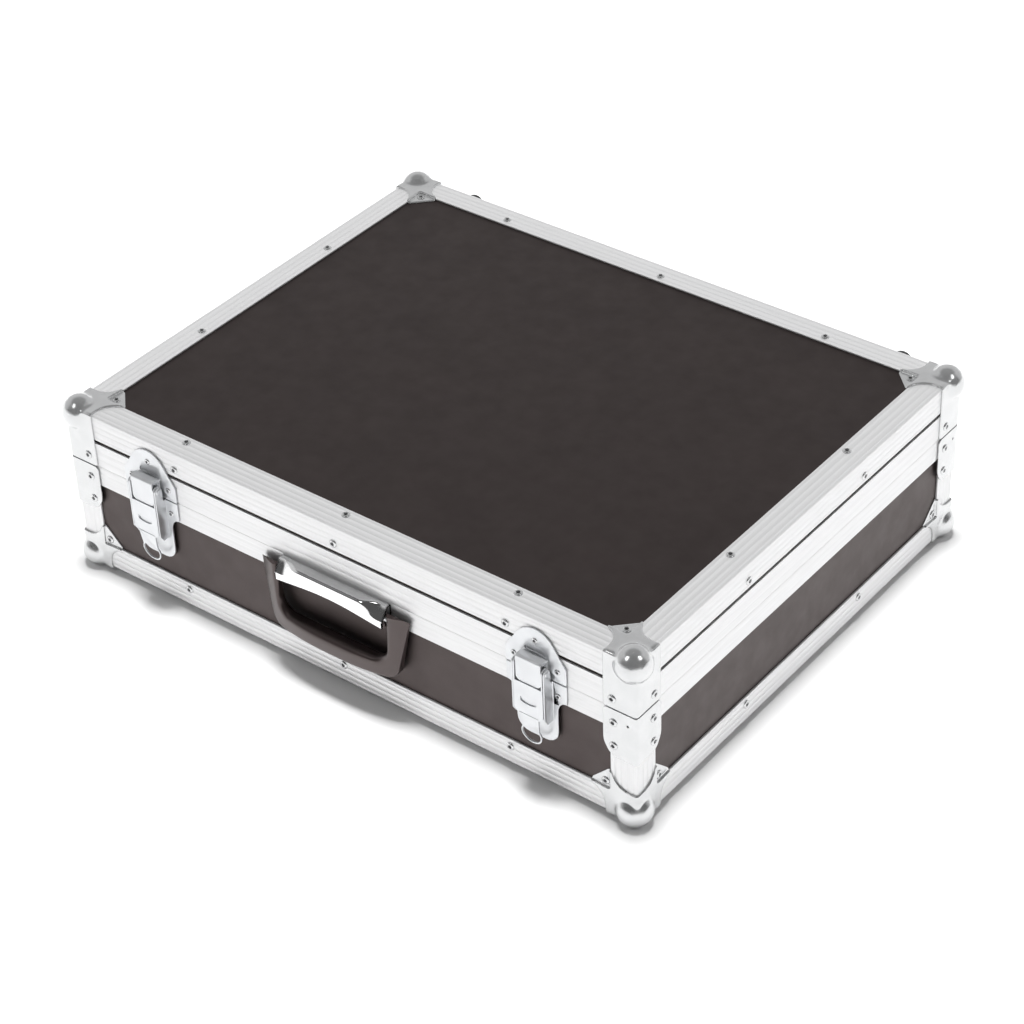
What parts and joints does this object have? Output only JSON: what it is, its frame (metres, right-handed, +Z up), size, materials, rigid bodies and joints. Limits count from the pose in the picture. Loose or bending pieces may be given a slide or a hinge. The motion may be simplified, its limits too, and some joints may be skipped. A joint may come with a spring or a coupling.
{
  "type": "equipment case",
  "caption": "Flat hard case with ridged metal edges, ball corners, hinged foam-lined lid, draw latches and a drop handle.",
  "frame": {"origin": "on the plane the case rests on, under the middle of its overall width and depth", "axes": "+X to the right along the front, +Y from the front to the hinged back, +Z up through the lid"},
  "size_m": [0.544, 0.4468, 0.157],
  "materials": {
    "brown_laminate": "dark brown plastic laminate on plywood, satin",
    "ridged_aluminium": "extruded, satin anodised",
    "zinc_steel": "pressed sheet, bright plated",
    "chrome_strap": "polished",
    "brown_plastic": "moulded, semi-gloss",
    "black_rubber": "matte",
    "grey_foam": "open-cell foam"
  },
  "bodies": {
    "base": {"base_floor_panel": "brown_laminate", "base_front_board": "brown_laminate", "base_right_board": "brown_laminate", "base_rear_board": "brown_laminate", "base_left_board": "brown_laminate", "base_front_edge": "ridged_aluminium", "base_right_edge": "ridged_aluminium", "base_rear_edge": "ridged_aluminium", "base_left_edge": "ridged_aluminium", "base_post_front_left": "ridged_aluminium", "base_post_front_right": "ridged_aluminium", "base_post_rear_right": "ridged_aluminium", "base_post_rear_left": "ridged_aluminium", "base_rim": "ridged_aluminium", "base_corner_front_left": "zinc_steel", "base_corner_front_right": "zinc_steel", "base_corner_rear_right": "zinc_steel", "base_corner_rear_left": "zinc_steel", "base_brace_front_left": "zinc_steel", "base_brace_front_right": "zinc_steel", "base_brace_rear_right": "zinc_steel", "base_brace_rear_left": "zinc_steel", "base_left_foot": "black_rubber", "base_right_foot": "black_rubber", "base_foam": "grey_foam", "hinge_left_base_leaf": "zinc_steel", "hinge_right_base_leaf": "zinc_steel", "hinge_left_pin": "zinc_steel", "hinge_right_pin": "zinc_steel", "latch_left_plate": "zinc_steel", "latch_right_plate": "zinc_steel", "handle_bracket": "chrome_strap", "handle_pin": "zinc_steel"},
    "lid": {"lid_top_panel": "brown_laminate", "lid_front_board": "brown_laminate", "lid_right_board": "brown_laminate", "lid_rear_board": "brown_laminate", "lid_left_board": "brown_laminate", "lid_front_edge": "ridged_aluminium", "lid_right_edge": "ridged_aluminium", "lid_rear_edge": "ridged_aluminium", "lid_left_edge": "ridged_aluminium", "lid_rim": "ridged_aluminium", "lid_corner_front_left": "zinc_steel", "lid_corner_front_right": "zinc_steel", "lid_corner_rear_right": "zinc_steel", "lid_corner_rear_left": "zinc_steel", "lid_foam": "grey_foam", "lid_left_foot": "black_rubber", "lid_right_foot": "black_rubber", "hinge_left_lid_leaf": "zinc_steel", "hinge_right_lid_leaf": "zinc_steel", "latch_left_keeper": "zinc_steel", "latch_right_keeper": "zinc_steel"},
    "latch_left_lever": {"latch_left_lever": "zinc_steel"},
    "latch_left_hook": {"latch_left_hook": "zinc_steel"},
    "latch_right_lever": {"latch_right_lever": "zinc_steel"},
    "latch_right_hook": {"latch_right_hook": "zinc_steel"},
    "handle": {"handle_grip": "brown_plastic"}
  },
  "joints": [
    {"name": "lid_hinge", "type": "hinge", "parent": "base", "child": "lid", "pos_m": [0, 0.2153, 0.1033], "axis": [-1, 0, 0], "range_deg": [0, 105]},
    {"name": "handle_swing", "type": "hinge", "parent": "base", "child": "handle", "pos_m": [0, -0.2144, 0.0925], "axis": [-1, 0, 0], "range_deg": [0, 95]},
    {"name": "latch_left_lever_hinge", "type": "hinge", "parent": "base", "child": "latch_left_lever", "pos_m": [-0.1815, -0.2163, 0.113], "axis": [-1, 0, 0], "range_deg": [0, 110]},
    {"name": "latch_left_hook_hinge", "type": "hinge", "parent": "latch_left_lever", "child": "latch_left_hook", "pos_m": [-0.1815, -0.2158, 0.104], "axis": [-1, 0, 0], "range_deg": [-102, 0]},
    {"name": "latch_right_lever_hinge", "type": "hinge", "parent": "base", "child": "latch_right_lever", "pos_m": [0.1815, -0.2163, 0.113], "axis": [-1, 0, 0], "range_deg": [0, 110]},
    {"name": "latch_right_hook_hinge", "type": "hinge", "parent": "latch_right_lever", "child": "latch_right_hook", "pos_m": [0.1815, -0.2158, 0.104], "axis": [-1, 0, 0], "range_deg": [-102, 0]}
  ],
  "couplings": [
    {"joint": "latch_left_hook_hinge", "follows": "latch_left_lever_hinge", "ratio": -0.92},
    {"joint": "latch_right_hook_hinge", "follows": "latch_right_lever_hinge", "ratio": -0.92}
  ]
}
